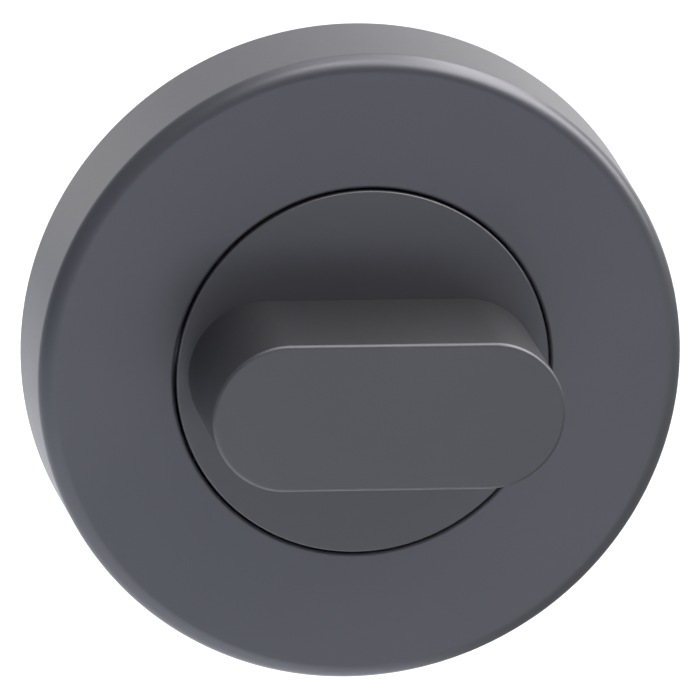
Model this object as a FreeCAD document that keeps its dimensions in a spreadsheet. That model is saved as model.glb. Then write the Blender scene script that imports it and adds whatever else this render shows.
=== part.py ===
import FreeCAD, Part
import math
import os
import re

import Sketcher

# Thumb turn on a round rose for a bathroom door, unhanded, for a 5 mm square spindle.
# Each piece is drawn as the user sees it: X to the right, Y up, Z out of the door towards the
# user, with Z = 0 on the face of the door. Its Placement then stands it up, with the door's face
# in the XZ plane and the grip pointing along -Y.

SIZES = {
    # Rose cover: a drawn cup, slightly tapered, with a round opening for the turn
    "rose_diameter": 52.0,
    "rose_front_diameter": 51.6,
    "rose_depth": 9.4,
    "rose_edge_radius": 1.3,
    "cover_wall": 1.2,
    "cover_inner_radius": 0.4,
    "opening_gap": 0.15,
    "opening_lip_radius": 0.3,
    "lever_notch_width": 7.0,
    "lever_notch_height": 1.2,
    # Wire clip between the cover and the base plate
    "clip_wire": 1.2,
    "clip_height": 2.9,
    "clip_bite": 0.35,
    "clip_play": 0.05,
    "clip_opening_angle": 40.0,
    # Base plate: a casting that is bolted or screwed to the door
    "plate_gap": 0.3,
    "plate_thickness": 2.6,
    "plate_edge_radius": 0.4,
    "rim_width": 2.2,
    "rim_height": 4.6,
    "rib_width": 1.6,
    "rib_height": 4.2,
    "rib_count": 4.0,
    "rib_root_overlap": 0.4,
    "recess_diameter": 19.6,
    "bolt_spacing": 38.0,
    "bolt_hole_diameter": 4.3,
    "bolt_head_diameter": 7.4,
    "fixing_seat_depth": 0.2,
    "lug_diameter": 8.0,
    "lug_length": 6.0,
    "lug_chamfer": 0.6,
    "screw_spacing": 37.0,
    "screw_hole_diameter": 3.2,
    "screw_head_diameter": 6.0,
    # Plastic bush in the base plate's hub
    "bush_diameter": 15.0,
    "bush_length": 3.1,
    "bush_flange_diameter": 20.0,
    "bush_flange_thickness": 0.8,
    "bush_chamfer": 0.3,
    "bush_fit": 0.03,
    # Thumb turn: disc, grip, shank and stop lug in one casting
    "disc_diameter": 29.9,
    "disc_thickness": 2.2,
    "disc_proud": 0.2,
    "disc_edge_radius": 0.15,
    "grip_length": 28.0,
    "grip_width": 12.0,
    "grip_height": 12.1,
    "grip_edge_radius": 0.3,
    "shank_diameter": 12.0,
    "shank_play": 0.05,
    "shank_lip": 0.8,
    "shank_chamfer": 0.3,
    "thrust_play": 0.05,
    "stop_lug_reach": 14.2,
    "stop_lug_depth": 2.0,
    "stop_lug_width": 4.0,
    "stop_lug_length": 2.4,
    "stop_gap": 0.25,
    "stop_play": 0.1,
    # Square spindle and the spring pin that holds it in the shank
    "spindle_width": 5.0,
    "spindle_reach": 55.0,
    "spindle_insertion": 13.0,
    "spindle_play": 0.05,
    "spindle_end_gap": 0.3,
    "spindle_chamfer": 0.5,
    "spindle_corner": 0.3,
    "pin_diameter": 2.0,
    "pin_wall": 0.4,
    "pin_slot": 0.5,
    "pin_play": 0.03,
    "pin_end_gap": 0.3,
    # Washers and retaining ring behind the hub
    "washer_play": 0.2,
    "thrust_washer_diameter": 18.6,
    "thrust_washer_thickness": 0.5,
    "spring_washer_diameter": 18.0,
    "spring_washer_thickness": 0.4,
    "spring_washer_height": 0.8,
    "circlip_thickness": 1.0,
    "circlip_groove_diameter": 11.5,
    "circlip_play": 0.05,
    "circlip_back_width": 1.8,
    "circlip_tip_width": 1.2,
    "circlip_gap": 2.6,
    "circlip_ear_radius": 1.5,
    "circlip_ear_spread": 2.6,
    "circlip_ear_drop": 7.3,
    "circlip_ear_hole_diameter": 1.4,
}

# Heights above the door's face, from the front of the disc back to the end of the shank
DISC_FRONT = "(rose_depth + disc_proud)"
DISC_BACK = f"({DISC_FRONT} - disc_thickness)"
GRIP_FRONT = f"({DISC_FRONT} + grip_height)"
FLANGE_FRONT = f"({DISC_BACK} - thrust_play)"
HUB_FRONT = f"({FLANGE_FRONT} - bush_flange_thickness)"
RECESS_FLOOR = f"({HUB_FRONT} - bush_length)"
THRUST_WASHER_FRONT = f"({RECESS_FLOOR} - thrust_play)"
SPRING_WASHER_FRONT = f"({THRUST_WASHER_FRONT} - thrust_washer_thickness)"
CIRCLIP_FRONT = f"({SPRING_WASHER_FRONT} - spring_washer_height)"
CIRCLIP_BACK = f"({CIRCLIP_FRONT} - circlip_thickness)"
SHANK_END = f"({CIRCLIP_BACK} - shank_lip)"
PIN_HEIGHT = f"(({RECESS_FLOOR} + {HUB_FRONT}) / 2)"
COVER_FACE_BACK = "(rose_depth - cover_wall)"
CLIP_GROOVE_BACK = "(clip_height - clip_wire / 2 - clip_play)"
CLIP_GROOVE_FRONT = "(clip_height + clip_wire / 2 + clip_play)"


def cover_inside(height):
    """Radius of the cover's tapered inner wall at a height above the door."""
    taper = "(rose_diameter - rose_front_diameter) / 2 / rose_depth"
    return f"(rose_diameter / 2 - cover_wall - {taper} * {height})"


# Radii that two pieces share
CLIP_OUTSIDE = f"({cover_inside('clip_height')} + clip_bite)"
CLIP_CENTRE = f"({CLIP_OUTSIDE} - clip_wire / 2)"
CLIP_INSIDE = f"({CLIP_OUTSIDE} - clip_wire)"
PLATE_RADIUS = f"(min({cover_inside('0')}; {cover_inside('rim_height')}) - plate_gap)"
HUB_RADIUS = "(stop_lug_reach - stop_lug_depth - stop_gap)"
BUSH_BORE = "(bush_diameter / 2 + bush_fit)"
SOCKET_WIDTH = "(spindle_width + 2 * spindle_play)"
PIN_HOLE_RADIUS = "(pin_diameter / 2 + pin_play)"
WASHER_BORE = "(shank_diameter + 2 * washer_play)"

NEAR = 1e-4
QUARTER_TURN = math.pi / 2
COUNTERSINK_ANGLE = -45
STANDING = FreeCAD.Placement(FreeCAD.Vector(), FreeCAD.Rotation(FreeCAD.Vector(1, 0, 0), 90))

doc = FreeCAD.newDocument("ThumbTurn")
sheet = doc.addObject("Spreadsheet::Sheet", "Sizes")
for row, (alias, number) in enumerate(SIZES.items(), start=1):
    sheet.set(f"A{row}", alias)
    sheet.set(f"B{row}", str(number))
    sheet.setAlias(f"B{row}", alias)
doc.recompute()


def expression(formula):
    """Give each size in a formula the sheet's name, so that any object can hold it."""
    return re.sub(r"[a-z_]+", lambda word: f"Sizes.{word[0]}" if word[0] in SIZES else word[0], formula)


def measure(formula):
    """Present value of a formula."""
    return float(sheet.evalExpression(expression(formula)))


def bind(thing, name, formula):
    """Tie a property or a sketch constraint to a formula."""
    thing.setExpression(name, expression(formula))


def new_body(label):
    """Empty body of one piece, standing in the part's frame."""
    body = doc.addObject("PartDesign::Body", label.title().replace("_", ""))
    body.Label = label
    body.Placement = STANDING
    return body


def origin_feature(body, role):
    """One of the body's own origin planes or axes."""
    return next(f for f in body.Origin.OriginFeatures if f.Role == role)


def new_sketch(body, name, plane, height=None):
    """Sketch on one of the body's origin planes, lifted off it by a formula."""
    sketch = body.newObject("Sketcher::SketchObject", name)
    sketch.AttachmentSupport = [(origin_feature(body, plane), "")]
    sketch.MapMode = "FlatFace"
    if height:
        bind(sketch, "AttachmentOffset.Base.z", height)
    return sketch


def constrain(sketch, formula, kind, *where):
    """Driving dimension of a sketch, tied to a formula."""
    index = sketch.addConstraint(Sketcher.Constraint(kind, *where, measure(formula)))
    bind(sketch, f"Constraints[{index}]", formula)


def place_point(sketch, geometry, point, across, along):
    """Fix one point of a sketch by its two coordinates, each a formula."""
    for kind, axis, formula in (("DistanceX", -2, across), ("DistanceY", -1, along)):
        distance = measure(formula)
        if abs(distance) < NEAR:
            sketch.addConstraint(Sketcher.Constraint("PointOnObject", geometry, point, axis))
        elif distance > 0:
            constrain(sketch, formula, kind, -1, 1, geometry, point)
        else:
            constrain(sketch, f"-({formula})", kind, geometry, point, -1, 1)


def add_outline(sketch, corners):
    """Closed outline of straight lines through corners given by formulas."""
    points = [FreeCAD.Vector(measure(across), measure(along), 0) for across, along in corners]
    lines = []
    for start, end in zip(points, points[1:] + points[:1]):
        lines.append(sketch.addGeometry(Part.LineSegment(start, end), False))
    for line, following in zip(lines, lines[1:] + lines[:1]):
        sketch.addConstraint(Sketcher.Constraint("Coincident", line, 2, following, 1))
    for line, (across, along) in zip(lines, corners):
        place_point(sketch, line, 1, across, along)


def add_rectangle(sketch, left, right, bottom, top):
    """Upright rectangle between four formulas."""
    add_outline(sketch, [(left, bottom), (right, bottom), (right, top), (left, top)])


def add_circle(sketch, radius, across="0", along="0"):
    """Circle of a radius about a point, all given by formulas."""
    centre = FreeCAD.Vector(measure(across), measure(along), 0)
    circle = Part.Circle(centre, FreeCAD.Vector(0, 0, 1), measure(radius))
    index = sketch.addGeometry(circle, False)
    constrain(sketch, radius, "Radius", index)
    place_point(sketch, index, 3, across, along)


def add_arc(sketch, centre, radius, first, last):
    """Arc of a circle between two angles in radians, still free of constraints."""
    circle = Part.Circle(centre, FreeCAD.Vector(0, 0, 1), radius)
    return sketch.addGeometry(Part.ArcOfCircle(circle, first, last), False)


def add_obround(sketch, length, width):
    """Two half circles joined by straight sides, lying along the sketch's first axis."""
    half_width = f"({width} / 2)"
    half_span = f"(({length} - {width}) / 2)"
    radius = measure(half_width)
    span = measure(half_span)
    right = add_arc(sketch, FreeCAD.Vector(span, 0, 0), radius, -QUARTER_TURN, QUARTER_TURN)
    left = add_arc(sketch, FreeCAD.Vector(-span, 0, 0), radius, QUARTER_TURN, 3 * QUARTER_TURN)
    sides = []
    for level, direction in ((radius, -1), (-radius, 1)):
        start = FreeCAD.Vector(-direction * span, level, 0)
        end = FreeCAD.Vector(direction * span, level, 0)
        sides.append(sketch.addGeometry(Part.LineSegment(start, end), False))
    top, bottom = sides
    for first, second in ((right, top), (top, left), (left, bottom), (bottom, right)):
        sketch.addConstraint(Sketcher.Constraint("Tangent", first, 2, second, 1))
    for arc in (right, left):
        sketch.addConstraint(Sketcher.Constraint("PointOnObject", arc, 3, -1))
    sketch.addConstraint(Sketcher.Constraint("Equal", right, left))
    constrain(sketch, half_width, "Radius", right)
    constrain(sketch, half_span, "DistanceX", -1, 1, right, 3)
    constrain(sketch, half_span, "DistanceX", left, 3, -1, 1)


def add_segment(sketch, radius, level):
    """Part of a round disc above a level line."""
    reach = measure(radius)
    edge = math.asin(measure(level) / reach)
    arc = add_arc(sketch, FreeCAD.Vector(), reach, edge, 2 * QUARTER_TURN - edge)
    corner = FreeCAD.Vector(reach * math.cos(edge), measure(level), 0)
    line = sketch.addGeometry(Part.LineSegment(FreeCAD.Vector(-corner.x, corner.y, 0), corner), False)
    sketch.addConstraint(Sketcher.Constraint("Coincident", arc, 3, -1, 1))
    sketch.addConstraint(Sketcher.Constraint("Coincident", arc, 2, line, 1))
    sketch.addConstraint(Sketcher.Constraint("Coincident", line, 2, arc, 1))
    sketch.addConstraint(Sketcher.Constraint("Horizontal", line))
    constrain(sketch, radius, "Radius", arc)
    constrain(sketch, level, "DistanceY", -1, 1, line, 1)


def add_feature(body, kind, name, sketch=None):
    """New feature at the end of the body."""
    feature = body.newObject(f"PartDesign::{kind}", name)
    if sketch:
        feature.Profile = sketch
    return feature


def revolve(body, name, sketch):
    """Turn a half section about the spindle's axis."""
    feature = add_feature(body, "Revolution", name, sketch)
    feature.ReferenceAxis = (sketch, ["V_Axis"])
    feature.Angle = 360
    doc.recompute()
    return feature


def pad(body, name, sketch, length, side="One side", backwards=False):
    """Add material along the sketch's normal."""
    feature = add_feature(body, "Pad", name, sketch)
    feature.SideType = side
    feature.Reversed = backwards
    bind(feature, "Length", length)
    doc.recompute()
    return feature


def pocket(body, name, sketch, depth, side="One side", forwards=False, taper=0):
    """Cut material against the sketch's normal, or along it, and see that some was cut."""
    before = body.Shape.Volume
    feature = add_feature(body, "Pocket", name, sketch)
    feature.SideType = side
    feature.Reversed = forwards
    feature.TaperAngle = taper
    bind(feature, "Length", depth)
    doc.recompute()
    if body.Shape.Volume > before - NEAR:
        raise RuntimeError(f"{name} cuts nothing")
    return feature


def polar_pattern(body, name, feature, count):
    """Repeat a feature round the spindle's axis."""
    pattern = add_feature(body, "PolarPattern", name)
    pattern.Originals = [feature]
    pattern.Axis = (origin_feature(body, "Z_Axis"), [""])
    pattern.Angle = 360
    bind(pattern, "Occurrences", count)
    body.Tip = pattern
    doc.recompute()


def mirror(body, name, feature, plane):
    """Repeat a feature on the other side of an origin plane."""
    copy = add_feature(body, "Mirrored", name)
    copy.Originals = [feature]
    copy.MirrorPlane = (origin_feature(body, plane), [""])
    body.Tip = copy
    doc.recompute()


def edges_where(feature, test):
    """Names of a feature's edges that pass a test on the edge's box."""
    found = []
    for number, edge in enumerate(feature.Shape.Edges, start=1):
        if test(edge.BoundBox):
            found.append(f"Edge{number}")
    return found


def is_circle(radius, height, across="0", along="0"):
    """Test for a level round edge of a radius at a height about a point."""

    def test(box):
        level = abs(box.ZMin - measure(height)) < NEAR and box.ZLength < NEAR
        round_about = abs(box.XLength / 2 - measure(radius)) < NEAR
        centred = math.hypot(box.Center.x - measure(across), box.Center.y - measure(along)) < NEAR
        return level and round_about and centred

    return test


def dress_edges(body, kind, name, size_name, size, *tests):
    """Round or chamfer the edges that the tests pick out."""
    base = body.Tip
    edges = [edge for test in tests for edge in edges_where(base, test)]
    if len(edges) < len(tests):
        raise RuntimeError(f"{name} finds too few edges")
    feature = add_feature(body, kind, name)
    feature.Base = (base, edges)
    bind(feature, size_name, size)
    doc.recompute()


def fillet(body, name, radius, *tests):
    """Round some edges."""
    dress_edges(body, "Fillet", name, "Radius", radius, *tests)


def chamfer(body, name, size, *tests):
    """Bevel some edges."""
    dress_edges(body, "Chamfer", name, "Size", size, *tests)


def make_rose_cover():
    """Drawn cup with a round opening, a groove inside for the clip and a notch to lever it off."""
    body = new_body("rose_cover")
    opening = "(disc_diameter / 2 + opening_gap)"
    clip_seat = f"({CLIP_OUTSIDE} + clip_play)"
    section = new_sketch(body, "CoverSection", "XZ_Plane")
    add_outline(section, [
        ("rose_diameter / 2", "0"),
        ("rose_front_diameter / 2", "rose_depth"),
        (opening, "rose_depth"),
        (opening, COVER_FACE_BACK),
        (cover_inside(COVER_FACE_BACK), COVER_FACE_BACK),
        (cover_inside(CLIP_GROOVE_FRONT), CLIP_GROOVE_FRONT),
        (clip_seat, CLIP_GROOVE_FRONT),
        (clip_seat, CLIP_GROOVE_BACK),
        (cover_inside(CLIP_GROOVE_BACK), CLIP_GROOVE_BACK),
        (cover_inside("0"), "0"),
    ])
    revolve(body, "CoverShell", section)
    fillet(body, "CoverInnerEdge", "cover_inner_radius",
           is_circle(cover_inside(COVER_FACE_BACK), COVER_FACE_BACK))
    fillet(body, "CoverFrontEdge", "rose_edge_radius", is_circle("rose_front_diameter / 2", "rose_depth"))
    fillet(body, "OpeningLip", "opening_lip_radius", is_circle(opening, "rose_depth"))
    notch = new_sketch(body, "LeverNotchOutline", "XZ_Plane")
    add_rectangle(notch, "-lever_notch_width / 2", "lever_notch_width / 2", "0", "lever_notch_height")
    pocket(body, "LeverNotch", notch, "rose_diameter / 2", forwards=True)
    return body


def make_base_plate():
    """Casting with a hub for the bush, a stop collar, a ribbed floor and two locating lugs."""
    body = new_body("base_plate")
    rim_inside = f"({PLATE_RADIUS} - rim_width)"
    clip_groove = f"({CLIP_INSIDE} - clip_play - clip_bite)"
    section = new_sketch(body, "PlateSection", "XZ_Plane")
    add_outline(section, [
        ("0", "0"),
        ("0", HUB_FRONT),
        (HUB_RADIUS, HUB_FRONT),
        (HUB_RADIUS, "plate_thickness"),
        (rim_inside, "plate_thickness"),
        (rim_inside, "rim_height"),
        (PLATE_RADIUS, "rim_height"),
        (PLATE_RADIUS, CLIP_GROOVE_FRONT),
        (clip_groove, CLIP_GROOVE_FRONT),
        (clip_groove, CLIP_GROOVE_BACK),
        (PLATE_RADIUS, CLIP_GROOVE_BACK),
        (PLATE_RADIUS, "0"),
    ])
    revolve(body, "Plate", section)
    fillet(body, "RimEdges", "plate_edge_radius",
           is_circle(PLATE_RADIUS, "rim_height"), is_circle(rim_inside, "rim_height"))

    collar = new_sketch(body, "StopCollarOutline", "XY_Plane", "plate_thickness")
    add_segment(collar, "stop_lug_reach", "(stop_lug_width / 2 + stop_play)")
    pad(body, "StopCollar", collar, f"{HUB_FRONT} - plate_thickness")

    rib = new_sketch(body, "RibOutline", "XY_Plane", "plate_thickness")
    bind(rib, "AttachmentOffset.Rotation.Angle", "180 / rib_count")
    add_rectangle(rib, f"{HUB_RADIUS} - rib_root_overlap", f"{rim_inside} + rib_root_overlap",
                  "-rib_width / 2", "rib_width / 2")
    first_rib = pad(body, "Rib", rib, "rib_height - plate_thickness")
    polar_pattern(body, "Ribs", first_rib, "rib_count")

    lug = new_sketch(body, "LugOutline", "XY_Plane")
    add_circle(lug, "lug_diameter / 2", "0", "bolt_spacing / 2")
    upper_lug = pad(body, "UpperLug", lug, "lug_length", backwards=True)
    mirror(body, "LowerLug", upper_lug, "XZ_Plane")
    lug_ends = [is_circle("lug_diameter / 2", "-lug_length", "0", f"{side} * bolt_spacing / 2")
                for side in (1, -1)]
    chamfer(body, "LugEnds", "lug_chamfer", *lug_ends)

    seat_floor = "(plate_thickness - fixing_seat_depth)"
    bolt_seat = new_sketch(body, "BoltSeatOutline", "XY_Plane", "rim_height")
    add_circle(bolt_seat, "bolt_head_diameter / 2", "0", "bolt_spacing / 2")
    upper_seat = pocket(body, "UpperBoltSeat", bolt_seat, f"rim_height - {seat_floor}")
    mirror(body, "LowerBoltSeat", upper_seat, "XZ_Plane")
    bolt = new_sketch(body, "BoltHoleOutline", "XY_Plane", "plate_thickness")
    add_circle(bolt, "bolt_hole_diameter / 2", "0", "bolt_spacing / 2")
    upper_bolt = pocket(body, "UpperBoltHole", bolt, "plate_thickness + lug_length")
    mirror(body, "LowerBoltHole", upper_bolt, "XZ_Plane")

    screw_seat = new_sketch(body, "ScrewSeatOutline", "XY_Plane", "rim_height")
    add_circle(screw_seat, "screw_head_diameter / 2", "screw_spacing / 2", "0")
    right_seat = pocket(body, "RightScrewSeat", screw_seat, f"rim_height - {seat_floor}")
    mirror(body, "LeftScrewSeat", right_seat, "YZ_Plane")
    screw = new_sketch(body, "ScrewHoleOutline", "XY_Plane", "plate_thickness")
    add_circle(screw, "screw_hole_diameter / 2", "screw_spacing / 2", "0")
    right_screw = pocket(body, "RightScrewHole", screw, "plate_thickness")
    mirror(body, "LeftScrewHole", right_screw, "YZ_Plane")
    countersink = new_sketch(body, "CountersinkOutline", "XY_Plane", seat_floor)
    add_circle(countersink, "screw_head_diameter / 2", "screw_spacing / 2", "0")
    sink_depth = "(screw_head_diameter - screw_hole_diameter) / 2"
    right_sink = pocket(body, "RightCountersink", countersink, sink_depth, taper=COUNTERSINK_ANGLE)
    mirror(body, "LeftCountersink", right_sink, "YZ_Plane")

    recess = new_sketch(body, "RecessOutline", "XY_Plane")
    add_circle(recess, "recess_diameter / 2")
    pocket(body, "CirclipRecess", recess, RECESS_FLOOR, forwards=True)
    bore = new_sketch(body, "BushBoreOutline", "XY_Plane")
    add_circle(bore, BUSH_BORE)
    pocket(body, "BushBore", bore, HUB_FRONT, forwards=True)
    return body


def make_cover_clip():
    """Split ring of round spring wire, half in the base plate's rim and half in the cover."""
    body = new_body("cover_clip")
    wire = new_sketch(body, "WireSection", "YZ_Plane")
    add_circle(wire, "clip_wire / 2", CLIP_CENTRE, "clip_height")
    ring = revolve(body, "WireRing", wire)
    ring.Midplane = True
    bind(ring, "Angle", "360 - clip_opening_angle")
    return body


def make_bearing_bush():
    """Flanged plastic bush that carries the shank and keeps the disc off the hub."""
    body = new_body("bearing_bush")
    bore = "(shank_diameter / 2 + shank_play)"
    section = new_sketch(body, "BushSection", "XZ_Plane")
    add_outline(section, [
        (bore, RECESS_FLOOR),
        ("bush_diameter / 2", RECESS_FLOOR),
        ("bush_diameter / 2", HUB_FRONT),
        ("bush_flange_diameter / 2", HUB_FRONT),
        ("bush_flange_diameter / 2", FLANGE_FRONT),
        (bore, FLANGE_FRONT),
    ])
    revolve(body, "Bush", section)
    chamfer(body, "BushLeadIn", "bush_chamfer",
            is_circle("bush_diameter / 2", RECESS_FLOOR), is_circle("bush_flange_diameter / 2", FLANGE_FRONT))
    return body


def make_thumb_turn():
    """One casting: obround grip on a disc, with a grooved shank, a socket and a stop lug behind."""
    body = new_body("thumb_turn")
    groove = "circlip_groove_diameter / 2"
    groove_back = f"({CIRCLIP_BACK} - circlip_play)"
    groove_front = f"({CIRCLIP_FRONT} + circlip_play)"
    section = new_sketch(body, "TurnSection", "XZ_Plane")
    add_outline(section, [
        ("0", SHANK_END),
        ("shank_diameter / 2", SHANK_END),
        ("shank_diameter / 2", groove_back),
        (groove, groove_back),
        (groove, groove_front),
        ("shank_diameter / 2", groove_front),
        ("shank_diameter / 2", DISC_BACK),
        ("disc_diameter / 2", DISC_BACK),
        ("disc_diameter / 2", DISC_FRONT),
        ("0", DISC_FRONT),
    ])
    revolve(body, "DiscAndShank", section)
    fillet(body, "DiscEdge", "disc_edge_radius", is_circle("disc_diameter / 2", DISC_FRONT))
    chamfer(body, "ShankEnd", "shank_chamfer", is_circle("shank_diameter / 2", SHANK_END))

    grip = new_sketch(body, "GripOutline", "XY_Plane", DISC_FRONT)
    add_obround(grip, "grip_length", "grip_width")
    pad(body, "Grip", grip, "grip_height")

    def on_grip_front(box):
        """Test for an edge of the grip's front outline."""
        return abs(box.ZMin - measure(GRIP_FRONT)) < NEAR and box.ZLength < NEAR

    fillet(body, "GripEdge", "grip_edge_radius", on_grip_front)

    lug = new_sketch(body, "StopLugOutline", "XY_Plane", DISC_BACK)
    add_rectangle(lug, "-stop_lug_width / 2", "stop_lug_width / 2",
                  "-stop_lug_reach", "-(stop_lug_reach - stop_lug_depth)")
    pad(body, "StopLug", lug, "stop_lug_length", backwards=True)

    socket = new_sketch(body, "SocketOutline", "XY_Plane", SHANK_END)
    half_socket = f"{SOCKET_WIDTH} / 2"
    add_rectangle(socket, f"-{half_socket}", half_socket, f"-{half_socket}", half_socket)
    pocket(body, "SpindleSocket", socket, "spindle_insertion + spindle_end_gap", forwards=True)
    pin = new_sketch(body, "PinHoleOutline", "YZ_Plane")
    add_circle(pin, PIN_HOLE_RADIUS, "0", PIN_HEIGHT)
    pocket(body, "PinHole", pin, "shank_diameter", side="Symmetric")
    return body


def make_spindle():
    """Square bar from the socket in the shank through the door to the lock's follower."""
    body = new_body("spindle")
    half_width = "spindle_width / 2"
    bar = new_sketch(body, "BarOutline", "XY_Plane", "-spindle_reach")
    add_rectangle(bar, f"-{half_width}", half_width, f"-{half_width}", half_width)
    pad(body, "Bar", bar, f"spindle_reach + {SHANK_END} + spindle_insertion")

    def at_an_end(box):
        """Test for an edge of either end face."""
        return box.ZLength < NEAR

    def along_the_bar(box):
        """Test for a long edge."""
        return box.ZLength > measure("spindle_reach")

    chamfer(body, "BarCorners", "spindle_corner", along_the_bar)
    chamfer(body, "BarEnds", "spindle_chamfer", at_an_end)
    pin = new_sketch(body, "PinHoleOutline", "YZ_Plane")
    add_circle(pin, PIN_HOLE_RADIUS, "0", PIN_HEIGHT)
    pocket(body, "PinHole", pin, "2 * spindle_width", side="Symmetric")
    return body


def make_spindle_pin():
    """Slotted spring pin across the shank and the spindle, kept in by the bush."""
    body = new_body("spindle_pin")
    length = "(shank_diameter - 2 * pin_end_gap)"
    tube = new_sketch(body, "TubeSection", "YZ_Plane")
    add_circle(tube, "pin_diameter / 2", "0", PIN_HEIGHT)
    add_circle(tube, "pin_diameter / 2 - pin_wall", "0", PIN_HEIGHT)
    pad(body, "Tube", tube, length, side="Symmetric")
    slot = new_sketch(body, "SlotOutline", "YZ_Plane")
    add_rectangle(slot, "-pin_slot / 2", "pin_slot / 2", PIN_HEIGHT, f"{PIN_HEIGHT} + pin_diameter")
    pocket(body, "Slot", slot, length, side="Symmetric")
    return body


def make_thrust_washer():
    """Plain steel washer against the floor of the base plate's recess."""
    body = new_body("thrust_washer")
    ring = new_sketch(body, "WasherOutline", "XY_Plane", SPRING_WASHER_FRONT)
    add_circle(ring, "thrust_washer_diameter / 2")
    add_circle(ring, f"{WASHER_BORE} / 2")
    pad(body, "Washer", ring, "thrust_washer_thickness")
    return body


def add_cylinder(name, radius, length):
    """Plain cylinder standing on the XY plane."""
    cylinder = doc.addObject("Part::Cylinder", name)
    bind(cylinder, "Radius", radius)
    bind(cylinder, "Height", length)
    return cylinder


def add_boolean(kind, name, base, tool):
    """Boolean of two solids."""
    result = doc.addObject(f"Part::{kind}", name)
    result.Base = base
    result.Tool = tool
    return result


def make_spring_washer():
    """Curved washer: a ring punched from sheet that is bent about a line across the shank."""
    sag = "(spring_washer_height - spring_washer_thickness)"
    bend_inside = f"((spring_washer_diameter ^ 2 / 4 + {sag} ^ 2) / (2 * {sag}))"
    bend_outside = f"({bend_inside} + spring_washer_thickness)"
    blank_height = "(3 * spring_washer_height)"
    sheet_width = "(2 * spring_washer_diameter)"
    blank = add_boolean("Cut", "WasherBlank",
                        add_cylinder("BlankOutside", "spring_washer_diameter / 2", blank_height),
                        add_cylinder("BlankBore", f"{WASHER_BORE} / 2", blank_height))
    bind(blank, "Placement.Base.z", f"{CIRCLIP_FRONT} - spring_washer_height")
    sheet_metal = add_boolean("Cut", "BentSheet",
                              add_cylinder("BendOutside", bend_outside, sheet_width),
                              add_cylinder("BendInside", bend_inside, sheet_width))
    along_x = FreeCAD.Rotation(FreeCAD.Vector(0, 1, 0), 90)
    sheet_metal.Placement = FreeCAD.Placement(FreeCAD.Vector(), along_x)
    bind(sheet_metal, "Placement.Base.x", f"-{sheet_width} / 2")
    bind(sheet_metal, "Placement.Base.z", f"{SPRING_WASHER_FRONT} - {bend_outside}")
    washer = add_boolean("Common", "SpringWasher", blank, sheet_metal)
    washer.Label = "spring_washer"
    washer.Placement = STANDING
    return washer


def make_circlip():
    """Retaining ring in the shank's groove, widest opposite its gap, with a holed ear at each tip."""
    body = new_body("circlip")
    inside = "(circlip_groove_diameter / 2 + circlip_play)"
    outside = f"({inside} + (circlip_back_width + circlip_tip_width) / 2)"
    ring = new_sketch(body, "RingOutline", "XY_Plane", CIRCLIP_BACK)
    add_circle(ring, outside, "0", "(circlip_back_width - circlip_tip_width) / 2")
    add_circle(ring, inside)
    pad(body, "Ring", ring, "circlip_thickness")
    ears = new_sketch(body, "EarOutlines", "XY_Plane", CIRCLIP_BACK)
    ear_holes = new_sketch(body, "EarHoleOutlines", "XY_Plane", CIRCLIP_FRONT)
    for side in (1, -1):
        centre = (f"{side} * circlip_ear_spread", "-circlip_ear_drop")
        add_circle(ears, "circlip_ear_radius", *centre)
        add_circle(ear_holes, "circlip_ear_hole_diameter / 2", *centre)
    pad(body, "Ears", ears, "circlip_thickness")
    gap = new_sketch(body, "GapOutline", "XY_Plane", CIRCLIP_FRONT)
    add_rectangle(gap, "-circlip_gap / 2", "circlip_gap / 2",
                  "-(circlip_ear_drop + 2 * circlip_ear_radius)", "0")
    pocket(body, "Gap", gap, "circlip_thickness")
    pocket(body, "EarHoles", ear_holes, "circlip_thickness")
    return body


pieces = [
    make_base_plate(),
    make_bearing_bush(),
    make_thumb_turn(),
    make_spindle(),
    make_spindle_pin(),
    make_thrust_washer(),
    make_spring_washer(),
    make_circlip(),
    make_cover_clip(),
    make_rose_cover(),
]
doc.recompute()

for thing in doc.Objects:
    if {"Invalid", "Error"} & set(thing.State):
        raise RuntimeError(f"{thing.Label} failed: {thing.State}")
for piece in pieces:
    if piece.Shape.isNull() or not piece.Shape.isValid() or len(piece.Shape.Solids) != 1:
        raise RuntimeError(f"{piece.Label} is not one sound solid")

os.makedirs("parts", exist_ok=True)
for piece in pieces:
    piece.Shape.exportStep(f"parts/{piece.Label}.step")
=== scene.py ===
import math
import bmesh
import bpy
from mathutils import Matrix, Vector


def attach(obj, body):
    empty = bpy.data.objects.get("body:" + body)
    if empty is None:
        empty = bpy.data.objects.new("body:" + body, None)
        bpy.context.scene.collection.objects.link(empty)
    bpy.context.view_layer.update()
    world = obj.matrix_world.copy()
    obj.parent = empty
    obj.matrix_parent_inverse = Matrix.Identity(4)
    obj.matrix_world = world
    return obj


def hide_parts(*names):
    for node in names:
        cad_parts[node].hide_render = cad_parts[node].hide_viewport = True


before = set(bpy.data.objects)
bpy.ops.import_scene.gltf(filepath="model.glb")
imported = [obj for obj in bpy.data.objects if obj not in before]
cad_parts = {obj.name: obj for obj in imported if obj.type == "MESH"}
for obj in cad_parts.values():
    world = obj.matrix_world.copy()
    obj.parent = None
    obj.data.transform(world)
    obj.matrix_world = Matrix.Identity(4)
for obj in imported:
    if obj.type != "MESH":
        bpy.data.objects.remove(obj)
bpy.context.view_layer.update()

# Base plate: the zinc die casting that is bolted to the door and carries every other piece.
# It is cast in one shot and barrel tumbled, so its skin is mid grey, clouded by the flow of the
# metal and finely pitted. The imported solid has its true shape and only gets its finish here.
CASTING_DARK = (0.39, 0.40, 0.41, 1.0)
CASTING_LIGHT = (0.47, 0.48, 0.495, 1.0)


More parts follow.
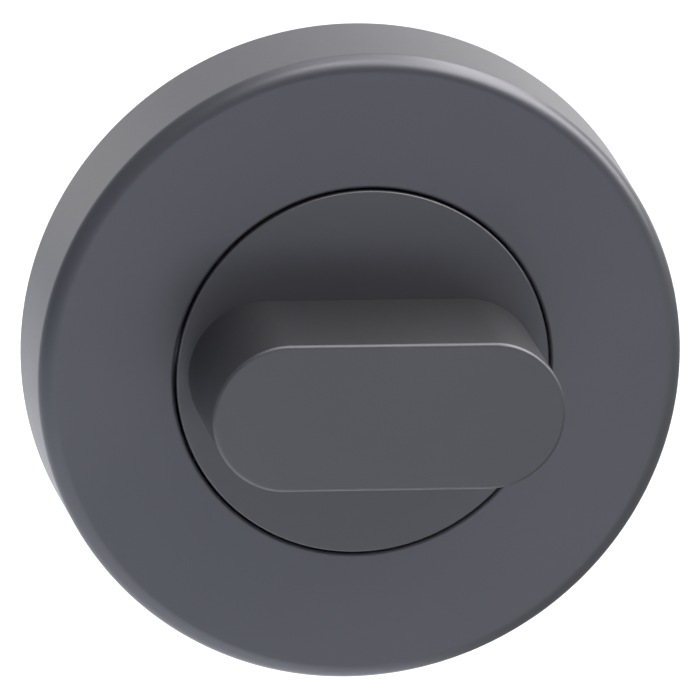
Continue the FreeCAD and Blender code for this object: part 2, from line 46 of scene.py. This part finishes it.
class Wire:
    """The output socket of a material's node; arithmetic on wires adds Math nodes."""

    def __init__(self, socket):
        self.socket = socket

    def node(self, kind, settings, sockets, output=0):
        """Add a node to the same material: its settings first, then its sockets."""
        tree = self.socket.id_data
        made = tree.nodes.new(kind)
        for name, value in settings.items():
            setattr(made, name, value)
        for name, value in sockets.items():
            if isinstance(value, Wire):
                tree.links.new(value.socket, made.inputs[name])
            else:
                made.inputs[name].default_value = value
        return Wire(made.outputs[output])

    def feed(self, target):
        """Link this wire to a shader's socket."""
        self.socket.id_data.links.new(self.socket, target)

    def calculate(self, operation, first, second):
        """Math node of two wires or numbers."""
        return self.node("ShaderNodeMath", {"operation": operation}, {0: first, 1: second})

    def __add__(self, other):
        return self.calculate("ADD", self, other)

    def __sub__(self, other):
        return self.calculate("SUBTRACT", self, other)

    def __rsub__(self, other):
        return self.calculate("SUBTRACT", other, self)

    def __mul__(self, other):
        return self.calculate("MULTIPLY", self, other)

    __radd__ = __add__
    __rmul__ = __mul__


def new_finish(name):
    """A new material, the sockets of its shader and the wire of its Object coordinates."""
    finish = bpy.data.materials.new(name)
    finish.use_nodes = True
    nodes = finish.node_tree.nodes
    place = Wire(nodes.new("ShaderNodeTexCoord").outputs["Object"])
    return finish, nodes["Principled BSDF"].inputs, place


def noise(place, grains_per_metre, detail, distortion=0.0):
    """Cloudy noise about one half, with a number of grains to the metre."""
    sockets = {"Vector": place, "Scale": grains_per_metre, "Detail": detail, "Distortion": distortion}
    return place.node("ShaderNodeTexNoise", {}, sockets)


def blend_colours(share, first, second):
    """Colour that goes from the first to the second as the share goes from 0 to 1."""
    return share.node("ShaderNodeMix", {"data_type": "RGBA"}, {0: share, 6: first, 7: second}, 2)


def bump(height, depth_m, strength):
    """Surface relief from a height wire."""
    sockets = {"Height": height, "Distance": depth_m, "Strength": strength}
    return height.node("ShaderNodeBump", {}, sockets)


def dress(node_name, finish):
    """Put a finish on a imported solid, which keeps its own shape."""
    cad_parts[node_name].material_slots[0].material = finish


casting, skin, place = new_finish("tumbled zinc casting")
flow = noise(place, grains_per_metre=90.0, detail=3.0, distortion=0.4)
pits = noise(place, grains_per_metre=2200.0, detail=3.0)
clouds = flow * 1.4 - 0.2
blend_colours(clouds, CASTING_DARK, CASTING_LIGHT).feed(skin["Base Color"])
(0.40 + 0.08 * flow + 0.10 * pits).feed(skin["Roughness"])
skin["Metallic"].default_value = 1.0
bump(pits + flow * 0.6, depth_m=0.00003, strength=0.35).feed(skin["Normal"])
dress("base_plate", casting)

# Bearing bush: the flanged plastic ring that is pressed into the hub of the base plate.
# It is moulded in natural acetal, a waxy off-white plastic, and the shank turns in it.
ACETAL_DARK = (0.76, 0.74, 0.69, 1.0)
ACETAL_LIGHT = (0.86, 0.85, 0.81, 1.0)
acetal, skin, place = new_finish("natural acetal")
milkiness = noise(place, grains_per_metre=220.0, detail=2.0)
mould_grain = noise(place, grains_per_metre=5200.0, detail=1.0)
blend_colours(milkiness, ACETAL_DARK, ACETAL_LIGHT).feed(skin["Base Color"])
(0.36 + 0.12 * milkiness + 0.05 * mould_grain).feed(skin["Roughness"])
bump(mould_grain, depth_m=0.00001, strength=0.2).feed(skin["Normal"])
dress("bearing_bush", acetal)

# Thumb turn: grip, disc, shank and stop lug in one zinc casting, which the hand turns.
# It is machined on the shank, then coated all over in a smooth satin graphite finish.
# Its sizes are in millimetres, and a height is measured from the door towards the user.
MM = 0.001
UPRIGHT = math.radians(90)
GRIP_LENGTH = 28.0
GRIP_WIDTH = 12.0
GRIP_FRONT = 21.7
GRIP_EDGE = 0.3
GRIP_ARC_STEPS = 160
GRIP_SIDE_CUTS = 15
DISC_RADIUS = 14.95
DISC_FRONT = 9.6
DISC_BACK = 7.4
DISC_EDGE = 0.15
SHANK_RADIUS = 6.0
SHANK_END = 0.3
SHANK_CHAMFER = 0.3
RING_GROOVE_RADIUS = 5.75
RING_GROOVE_FRONT = 2.15
RING_GROOVE_BACK = 1.05
LUG_WIDTH = 4.0
LUG_REACH = 14.2
LUG_DEPTH = 2.0
LUG_BACK = 5.0
LUG_FRONT = 8.0
SOCKET_WIDTH = 5.1
SOCKET_FRONT = 13.6
PIN_HOLE_RADIUS = 1.03
PIN_HOLE_LENGTH = 16.0
PIN_HOLE_HEIGHT = 5.0
PIN_HOLE_STEPS = 48
CUT_START = -1.0
NEAR = 0.004
SEAM = 0.001
SMOOTH_ANGLE = math.radians(32)
TURN_DARK = (0.120, 0.1195, 0.132, 1.0)
TURN_LIGHT = (0.1365, 0.136, 0.150, 1.0)


def deselect():
    bpy.ops.object.select_all(action="DESELECT")


def add_ring(steps, radius, height, turned=0.0):
    """Circle about the turn's axis, at a height above the door."""
    bpy.ops.mesh.primitive_circle_add(
        vertices=steps,
        radius=radius * MM,
        location=(0.0, -height * MM, 0.0),
        rotation=(UPRIGHT, turned, 0.0),
    )


def start_ring(name, steps, radius, height, turned=0.0):
    """New piece that starts as one ring, open for editing with the ring selected."""
    deselect()
    add_ring(steps, radius, height, turned)
    piece = bpy.context.object
    piece.name = name
    piece.data.name = name
    bpy.ops.object.transform_apply(location=True, rotation=True, scale=True)
    bpy.ops.object.mode_set(mode="EDIT")
    bpy.ops.mesh.select_mode(type="EDGE")
    bpy.ops.mesh.select_all(action="SELECT")
    return piece


def pick(piece, test):
    """Select the edges whose ends both pass a test of (x, height, z) in millimetres."""
    bpy.ops.mesh.select_all(action="DESELECT")
    mesh = bmesh.from_edit_mesh(piece.data)
    for edge in mesh.edges:
        ends = [(vert.co.x / MM, -vert.co.y / MM, vert.co.z / MM) for vert in edge.verts]
        if all(test(*end) for end in ends):
            edge.select_set(True)
    bmesh.update_edit_mesh(piece.data)


def at_height(height):
    """Test for what lies at a height above the door."""

    def test(x, level, z):
        return abs(level - height) < NEAR

    return test


def at_ring(radius, height):
    """Test for what lies on a ring about the turn's axis."""

    def test(x, level, z):
        return abs(math.hypot(x, z) - radius) < NEAR and abs(level - height) < NEAR

    return test


def extrude_rings(radius, height, rings):
    """Draw the selected ring out through further rings of (radius, height)."""
    for next_radius, next_height in rings:
        step = (0.0, (height - next_height) * MM, 0.0)
        bpy.ops.mesh.extrude_region_move(TRANSFORM_OT_translate={"value": step})
        growth = next_radius / radius
        centre = (0.0, -next_height * MM, 0.0)
        bpy.ops.transform.resize(value=(growth, 1.0, growth), center_override=centre)
        radius = next_radius
        height = next_height


def round_edges(piece, test, radius, segments):
    """Round the picked edges to a radius."""
    pick(piece, test)
    bpy.ops.mesh.bevel(
        offset=radius * MM,
        segments=segments,
        profile=0.5,
        affect="EDGES",
        loop_slide=False,
    )


def close_piece():
    """Merge the seams, point the faces outwards and leave edit mode."""
    bpy.ops.mesh.select_all(action="SELECT")
    bpy.ops.mesh.remove_doubles(threshold=SEAM * MM)
    bpy.ops.mesh.normals_make_consistent(inside=False)
    bpy.ops.object.mode_set(mode="OBJECT")


def add_block(low, high):
    """Block between two corners given as (x, height, z)."""
    deselect()
    size = [(b - a) * MM for a, b in zip(low, high)]
    x, height, z = [(a + b) / 2 * MM for a, b in zip(low, high)]
    bpy.ops.mesh.primitive_cube_add(size=1.0, location=(x, -height, z), scale=size)
    return bpy.context.object


def combine(piece, tool, operation):
    """Add a tool's shape to a piece or cut it out, and throw the tool away."""
    work = piece.modifiers.new("combine", "BOOLEAN")
    work.operation = operation
    work.object = tool
    work.solver = "EXACT"
    bpy.context.view_layer.objects.active = piece
    bpy.ops.object.modifier_apply(modifier=work.name)
    bpy.data.objects.remove(tool)


def rescale(piece, factor):
    """Scale a piece's mesh about the origin."""
    piece.scale = (factor, factor, factor)
    bpy.ops.object.transform_apply(location=False, rotation=False, scale=True)


def smooth_piece(piece, smallest_wall):
    """Shade the rounds smoothly, and keep flats and walls of at least a smallest area (mm2) true."""
    deselect()
    piece.select_set(True)
    bpy.context.view_layer.objects.active = piece
    bpy.ops.object.shade_smooth_by_angle(angle=SMOOTH_ANGLE)
    bpy.ops.object.mode_set(mode="EDIT")
    bpy.ops.mesh.select_mode(type="FACE")
    bpy.ops.mesh.select_all(action="SELECT")
    bpy.ops.mesh.mod_weighted_strength(set=True, face_strength="WEAK")
    bpy.ops.mesh.select_all(action="DESELECT")
    mesh = bmesh.from_edit_mesh(piece.data)
    for face in mesh.faces:
        face.select_set(face.calc_area() > smallest_wall * MM * MM)
    bmesh.update_edit_mesh(piece.data)
    bpy.ops.mesh.mod_weighted_strength(set=True, face_strength="STRONG")
    bpy.ops.object.mode_set(mode="OBJECT")
    # the modifier takes faces as small as these for nothing, so it works at 1000:1
    rescale(piece, 1 / MM)
    flats = piece.modifiers.new("flats", "WEIGHTED_NORMAL")
    flats.keep_sharp = True
    flats.use_face_influence = True
    bpy.ops.object.modifier_apply(modifier=flats.name)
    rescale(piece, MM)


# the grip's outline is a circle whose halves are pulled apart, then drawn back to the disc
half_step = math.pi / GRIP_ARC_STEPS
turn = start_ring("turn_casting", GRIP_ARC_STEPS, GRIP_WIDTH / 2, GRIP_FRONT, half_step)
half_run = (GRIP_LENGTH - GRIP_WIDTH) / 2
for side in (-1, 1):
    pick(turn, lambda x, height, z: x * side > 0)
    bpy.ops.transform.translate(value=(side * half_run * MM, 0.0, 0.0))
bpy.ops.mesh.select_all(action="DESELECT")
outline = bmesh.from_edit_mesh(turn.data)
for edge in outline.edges:
    edge.select_set(edge.calc_length() > half_run * MM)
bmesh.update_edit_mesh(turn.data)
bpy.ops.mesh.subdivide(number_cuts=GRIP_SIDE_CUTS)
bpy.ops.mesh.select_all(action="SELECT")
grip_draw = (0.0, (GRIP_FRONT - DISC_FRONT) * MM, 0.0)
bpy.ops.mesh.extrude_region_move(TRANSFORM_OT_translate={"value": grip_draw})
pick(turn, at_height(GRIP_FRONT))
bpy.ops.mesh.edge_face_add()
# the disc's rim joins the foot of the grip, and the disc and shank are turned from it
bpy.ops.mesh.select_all(action="DESELECT")
add_ring(GRIP_ARC_STEPS + 2 * GRIP_SIDE_CUTS, DISC_RADIUS, DISC_BACK)
pick(turn, lambda x, height, z: DISC_BACK - NEAR < height < DISC_FRONT + NEAR)
bpy.ops.mesh.bridge_edge_loops()
pick(turn, at_ring(DISC_RADIUS, DISC_BACK))
bpy.ops.transform.translate(value=(0.0, (DISC_BACK - DISC_FRONT) * MM, 0.0))
extrude_rings(DISC_RADIUS, DISC_FRONT, [
    (DISC_RADIUS, DISC_BACK),
    (SHANK_RADIUS, DISC_BACK),
    (SHANK_RADIUS, RING_GROOVE_FRONT),
    (RING_GROOVE_RADIUS, RING_GROOVE_FRONT),
    (RING_GROOVE_RADIUS, RING_GROOVE_BACK),
    (SHANK_RADIUS, RING_GROOVE_BACK),
    (SHANK_RADIUS, SHANK_END + SHANK_CHAMFER),
    (SHANK_RADIUS - SHANK_CHAMFER, SHANK_END),
])
bpy.ops.mesh.edge_face_add()
round_edges(turn, at_ring(DISC_RADIUS, DISC_FRONT), DISC_EDGE, segments=3)
round_edges(turn, at_height(GRIP_FRONT), GRIP_EDGE, segments=4)
close_piece()
lug = add_block(
    (-LUG_WIDTH / 2, LUG_BACK, -LUG_REACH),
    (LUG_WIDTH / 2, LUG_FRONT, LUG_DEPTH - LUG_REACH),
)
combine(turn, lug, "UNION")
socket = add_block(
    (-SOCKET_WIDTH / 2, CUT_START, -SOCKET_WIDTH / 2),
    (SOCKET_WIDTH / 2, SOCKET_FRONT, SOCKET_WIDTH / 2),
)
combine(turn, socket, "DIFFERENCE")
deselect()
bpy.ops.mesh.primitive_cylinder_add(
    vertices=PIN_HOLE_STEPS,
    radius=PIN_HOLE_RADIUS * MM,
    depth=PIN_HOLE_LENGTH * MM,
    location=(0.0, -PIN_HOLE_HEIGHT * MM, 0.0),
    rotation=(0.0, UPRIGHT, 0.0),
)
combine(turn, bpy.context.object, "DIFFERENCE")
smooth_piece(turn, smallest_wall=0.1)


def graphite_coat(name, dark, light, roughness, metal):
    """Satin coating that is clouded between two greys and has a faint orange peel."""
    finish, skin, place = new_finish(name)
    cloud = noise(place, grains_per_metre=70.0, detail=3.0)
    orange_peel = noise(place, grains_per_metre=1900.0, detail=2.0)
    blend_colours(cloud, dark, light).feed(skin["Base Color"])
    (roughness + 0.06 * cloud + 0.03 * orange_peel).feed(skin["Roughness"])
    skin["Metallic"].default_value = metal
    bump(orange_peel, depth_m=0.000008, strength=0.12).feed(skin["Normal"])
    return finish


turn_coat = graphite_coat("graphite on zinc", TURN_DARK, TURN_LIGHT, roughness=0.40, metal=0.88)
turn.data.materials.append(turn_coat)
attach(turn, "turn")
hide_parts("thumb_turn")

# Spindle: the 5 mm square bar that passes through the door and works the lock's follower.
# It is cold drawn steel, cropped and chamfered at both ends, and bright zinc plated.
PLATE_DARK = (0.47, 0.48, 0.51, 1.0)
PLATE_LIGHT = (0.57, 0.57, 0.57, 1.0)
ALONG_BAR = (1.0, 0.03, 1.0)
plate, skin, place = new_finish("bright zinc plate")
stretched = place.node("ShaderNodeMapping", {}, {"Vector": place, "Scale": ALONG_BAR})
drawing_lines = noise(stretched, grains_per_metre=5200.0, detail=2.0)
passivation = noise(place, grains_per_metre=120.0, detail=3.0, distortion=0.8)
blend_colours(passivation, PLATE_DARK, PLATE_LIGHT).feed(skin["Base Color"])
(0.25 + 0.1 * passivation + 0.1 * drawing_lines).feed(skin["Roughness"])
skin["Metallic"].default_value = 1.0
bump(drawing_lines, depth_m=0.000012, strength=0.3).feed(skin["Normal"])
dress("spindle", plate)

# Spring pin: a slotted roll of spring steel driven across the shank to hold the spindle in.
# It is hardened and phosphated, which leaves it dark grey, dull and slightly brown.
PHOSPHATE_DARK = (0.085, 0.082, 0.080, 1.0)
PHOSPHATE_LIGHT = (0.15, 0.142, 0.132, 1.0)
phosphate, skin, place = new_finish("phosphated spring steel")
patches = noise(place, grains_per_metre=260.0, detail=4.0)
crystals = noise(place, grains_per_metre=6000.0, detail=2.0)
blend_colours(patches, PHOSPHATE_DARK, PHOSPHATE_LIGHT).feed(skin["Base Color"])
(0.4 + 0.15 * patches + 0.1 * crystals).feed(skin["Roughness"])
skin["Metallic"].default_value = 0.85
bump(crystals, depth_m=0.00001, strength=0.3).feed(skin["Normal"])
dress("spindle_pin", phosphate)

# Thrust washer, spring washer and circlip: they hold the turn back against the hub.
# The flat washer is plated like the spindle; the curved washer and the ring are spring steel.
dress("thrust_washer", plate)
dress("spring_washer", phosphate)
dress("circlip", phosphate)

# Wire clip: an open hoop of spring wire in the groove round the base plate.
# It snaps into the groove inside the cover and holds the cover on without screws.
dress("cover_clip", phosphate)

# Rose cover: the round cup that hides the base plate, with an opening for the turn's disc.
# It is pressed from sheet, so its rims are rounded, and its graphite coat is a little smoother
# than the turn's. A notch in the bottom of its back rim lets a screwdriver lever it off the clip.
COVER_STEPS = 256
COVER_RADIUS = 26.0
COVER_FRONT_RADIUS = 25.8
COVER_FRONT = 9.4
COVER_WALL = 1.2
COVER_EDGE = 1.3
OPENING_GAP = 0.15
OPENING_RADIUS = DISC_RADIUS + OPENING_GAP
OPENING_LIP = 0.3
INNER_FRONT = COVER_FRONT - COVER_WALL
INNER_EDGE = 0.4
CLIP_HEIGHT = 2.9
CLIP_WIRE = 1.2
CLIP_BITE = 0.35
CLIP_PLAY = 0.05
CLIP_GROOVE_FRONT = CLIP_HEIGHT + CLIP_WIRE / 2 + CLIP_PLAY
CLIP_GROOVE_BACK = CLIP_HEIGHT - CLIP_WIRE / 2 - CLIP_PLAY
NOTCH_WIDTH = 7.0
NOTCH_HEIGHT = 1.2
NOTCH_INSIDE = 20.0
NOTCH_OUTSIDE = 27.0
COVER_DARK = (0.112, 0.113, 0.1285, 1.0)
COVER_LIGHT = (0.127, 0.1285, 0.1455, 1.0)


def inner_wall(height):
    """Radius of the cover's tapered inner wall at a height above the door."""
    taper = (COVER_RADIUS - COVER_FRONT_RADIUS) / COVER_FRONT
    return COVER_RADIUS - COVER_WALL - taper * height


clip_seat = inner_wall(CLIP_HEIGHT) + CLIP_BITE + CLIP_PLAY
cover = start_ring("cover_shell", COVER_STEPS, COVER_RADIUS, 0.0)
extrude_rings(COVER_RADIUS, 0.0, [
    (COVER_FRONT_RADIUS, COVER_FRONT),
    (OPENING_RADIUS, COVER_FRONT),
    (OPENING_RADIUS, INNER_FRONT),
    (inner_wall(INNER_FRONT), INNER_FRONT),
    (inner_wall(CLIP_GROOVE_FRONT), CLIP_GROOVE_FRONT),
    (clip_seat, CLIP_GROOVE_FRONT),
    (clip_seat, CLIP_GROOVE_BACK),
    (inner_wall(CLIP_GROOVE_BACK), CLIP_GROOVE_BACK),
    (inner_wall(0.0), 0.0),
])
pick(cover, at_height(0.0))
bpy.ops.mesh.bridge_edge_loops()
round_edges(cover, at_ring(COVER_FRONT_RADIUS, COVER_FRONT), COVER_EDGE, segments=12)
round_edges(cover, at_ring(OPENING_RADIUS, COVER_FRONT), OPENING_LIP, segments=6)
round_edges(cover, at_ring(inner_wall(INNER_FRONT), INNER_FRONT), INNER_EDGE, segments=3)
close_piece()
notch = add_block(
    (-NOTCH_WIDTH / 2, CUT_START, -NOTCH_OUTSIDE),
    (NOTCH_WIDTH / 2, NOTCH_HEIGHT, -NOTCH_INSIDE),
)
combine(cover, notch, "DIFFERENCE")
smooth_piece(cover, smallest_wall=0.15)
cover_coat = graphite_coat("graphite on sheet", COVER_DARK, COVER_LIGHT, roughness=0.33, metal=0.73)
cover.data.materials.append(cover_coat)
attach(cover, "rose")
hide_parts("rose_cover")

# Floor: a wide pale sheet well below the object, which also lights its underside.
# It is matt and barely mottled, so that it stays plain.
FLOOR_SIZE = 8.0
FLOOR_HEIGHT = -0.3
FLOOR_DARK = (0.80, 0.83, 0.875, 1.0)
FLOOR_LIGHT = (0.83, 0.86, 0.905, 1.0)
MATT = 0.9
deselect()
bpy.ops.mesh.primitive_plane_add(size=FLOOR_SIZE, location=(0.0, 0.0, FLOOR_HEIGHT))
floor = bpy.context.object
floor.name = "floor"
paper, skin, place = new_finish("pale floor")
fibre = noise(place, grains_per_metre=30.0, detail=3.0)
blend_colours(fibre, FLOOR_DARK, FLOOR_LIGHT).feed(skin["Base Color"])
skin["Roughness"].default_value = MATT
skin["Specular IOR Level"].default_value = 0.0
floor.data.materials.append(paper)

# Flag: a dark card that lies on the floor at the right, where only reflections show it.
# It keeps the rims on that side from going as pale as the floor.
FLAG_SIZE = (1.5, 1.9, 1.0)
FLAG_PLACE = (0.85, 0.25, FLOOR_HEIGHT + 0.01)
FLAG_DARK = (0.11, 0.11, 0.11, 1.0)
FLAG_LIGHT = (0.13, 0.13, 0.13, 1.0)
deselect()
bpy.ops.mesh.primitive_plane_add(size=1.0, location=FLAG_PLACE)
flag = bpy.context.object
flag.name = "flag"
flag.scale = FLAG_SIZE
card, skin, place = new_finish("dark card")
weave = noise(place, grains_per_metre=60.0, detail=2.0)
blend_colours(weave, FLAG_DARK, FLAG_LIGHT).feed(skin["Base Color"])
skin["Roughness"].default_value = MATT
flag.data.materials.append(card)
flag.visible_camera = False
flag.visible_diffuse = False
flag.visible_shadow = False

# Studio light: two long softboxes overhead and a square one at the right, all slightly warm.
# Panels behind light the cover's wall, and two high lamps the floor, the back one out of
# reflections. The surround is cool, and the left gets little light, which darkens its rims.
LIGHT_COLOUR = (1.0, 0.97, 0.92)
SURROUND_COLOUR = (0.93, 0.99, 1.1, 1.0)
SURROUND_STRENGTH = 0.31
OBJECT = (0.0, 0.0, 0.0)


def add_softbox(name, location, target, width, length, radiance):
    """Area light that faces a target; its power follows from its radiance and size."""
    bpy.ops.object.light_add(type="AREA", location=location)
    box = bpy.context.object
    box.name = name
    box.data.shape = "RECTANGLE"
    box.data.size = width
    box.data.size_y = length
    box.data.energy = radiance * math.pi * width * length
    box.data.color = LIGHT_COLOUR
    aim = Vector(target) - Vector(location)
    box.rotation_euler = aim.to_track_quat("-Z", "Y").to_euler()
    box.visible_camera = False
    return box


add_softbox(
    "overhead softbox", location=(0.15, 0.0, 0.85), target=(0.15, 0.0, 0.0),
    width=0.7, length=1.8, radiance=1.4,
)
add_softbox(
    "overhead right softbox", location=(0.65, 0.0, 0.8), target=(0.65, 0.0, 0.0),
    width=0.6, length=1.8, radiance=5.0,
)
add_softbox(
    "right softbox", location=(1.0, -0.1, 0.5), target=OBJECT,
    width=0.6, length=0.6, radiance=4.5,
)
add_softbox(
    "back panel", location=(0.1, 1.6, 0.35), target=OBJECT,
    width=2.4, length=1.1, radiance=0.76,
)
add_softbox(
    "back left panel", location=(-0.9, 1.3, 0.2), target=OBJECT,
    width=0.9, length=0.9, radiance=0.4,
)
add_softbox(
    "back right panel", location=(1.2, 1.15, 0.35), target=OBJECT,
    width=0.9, length=0.9, radiance=1.4,
)
floor_lamp = add_softbox(
    "floor light", location=(0.0, 1.2, 2.4), target=(0.0, 1.2, 0.0),
    width=2.0, length=1.4, radiance=3.4,
)
floor_lamp.visible_glossy = False
add_softbox(
    "front floor light", location=(0.0, -0.8, 2.2), target=(0.0, -0.8, 0.0),
    width=0.6, length=0.6, radiance=5.6,
)
studio = bpy.data.worlds.new("studio")
studio.use_nodes = True
surround = studio.node_tree.nodes["Background"].inputs
surround["Color"].default_value = SURROUND_COLOUR
surround["Strength"].default_value = SURROUND_STRENGTH
bpy.context.scene.world = studio
bpy.context.scene.view_settings.view_transform = "Standard"

# Camera: a long lens a little above and to the left of the turn, slightly rolled.
# Its place was fitted to the rose's outline, the round gap and the edges of the grip.
AZIMUTH = math.radians(-10.605)
ELEVATION = math.radians(16.94)
ROLL = math.radians(2.341)
TARGET = Vector((-0.000287, -0.005, 0.000452))
DISTANCE = 0.9
LENS = 582.6
SENSOR = 36.0
back = Vector((
    math.sin(AZIMUTH) * math.cos(ELEVATION),
    -math.cos(AZIMUTH) * math.cos(ELEVATION),
    math.sin(ELEVATION),
))
level = Vector((0.0, 0.0, 1.0)).cross(back).normalized()
rise = back.cross(level)
right = math.cos(ROLL) * level + math.sin(ROLL) * rise
up = -math.sin(ROLL) * level + math.cos(ROLL) * rise
facing = Matrix((right, up, back)).transposed().to_4x4()
bpy.ops.object.camera_add()
camera = bpy.context.object
camera.matrix_world = Matrix.Translation(TARGET + DISTANCE * back) @ facing
camera.data.sensor_width = SENSOR
camera.data.lens = LENS
camera.data.clip_start = 0.05
camera.data.clip_end = 20.0
bpy.context.scene.camera = camera
